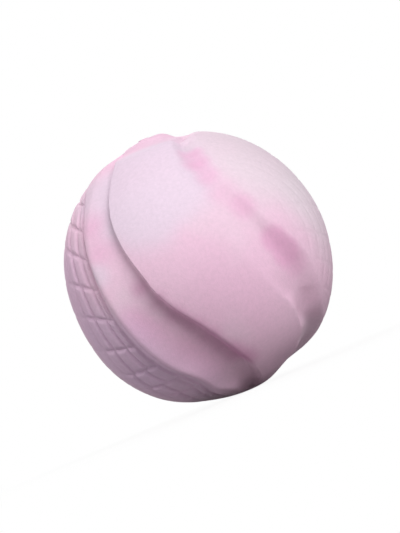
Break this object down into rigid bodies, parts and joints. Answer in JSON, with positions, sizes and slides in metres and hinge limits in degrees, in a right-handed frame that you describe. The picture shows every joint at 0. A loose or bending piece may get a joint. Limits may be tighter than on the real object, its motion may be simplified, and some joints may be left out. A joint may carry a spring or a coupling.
{
  "type": "dog toy ball",
  "caption": "Hollow rubber dog ball with a moulded swirl of bands and netted panels, cemented from half shells around a reed squeaker that vents at one pole.",
  "frame": {"origin": "centre of the ball", "axes": "+Z along the pole axis, towards the vent; -Y towards the side that the picture shows, in the middle of the wide smooth band"},
  "size_m": [0.0665, 0.0684, 0.0682],
  "materials": {
    "rubber": "matte, marbled pink and white",
    "white_plastic": "satin",
    "brass_strip": "rolled"
  },
  "bodies": {
    "ball": {"upper_shell": "rubber", "lower_shell": "rubber", "squeaker_cup": "white_plastic", "squeaker_cap": "white_plastic", "reed_carrier": "white_plastic", "reed_wedge": "white_plastic"},
    "reed": {"reed": "brass_strip"}
  },
  "joints": [
    {"name": "reed_flex", "type": "hinge", "parent": "ball", "child": "reed", "pos_m": [0, 0.0001, 0.0256], "axis": [1, 0, 0], "range_deg": [-2, 5.5], "stiffness_Nm_per_rad": 0.03}
  ]
}
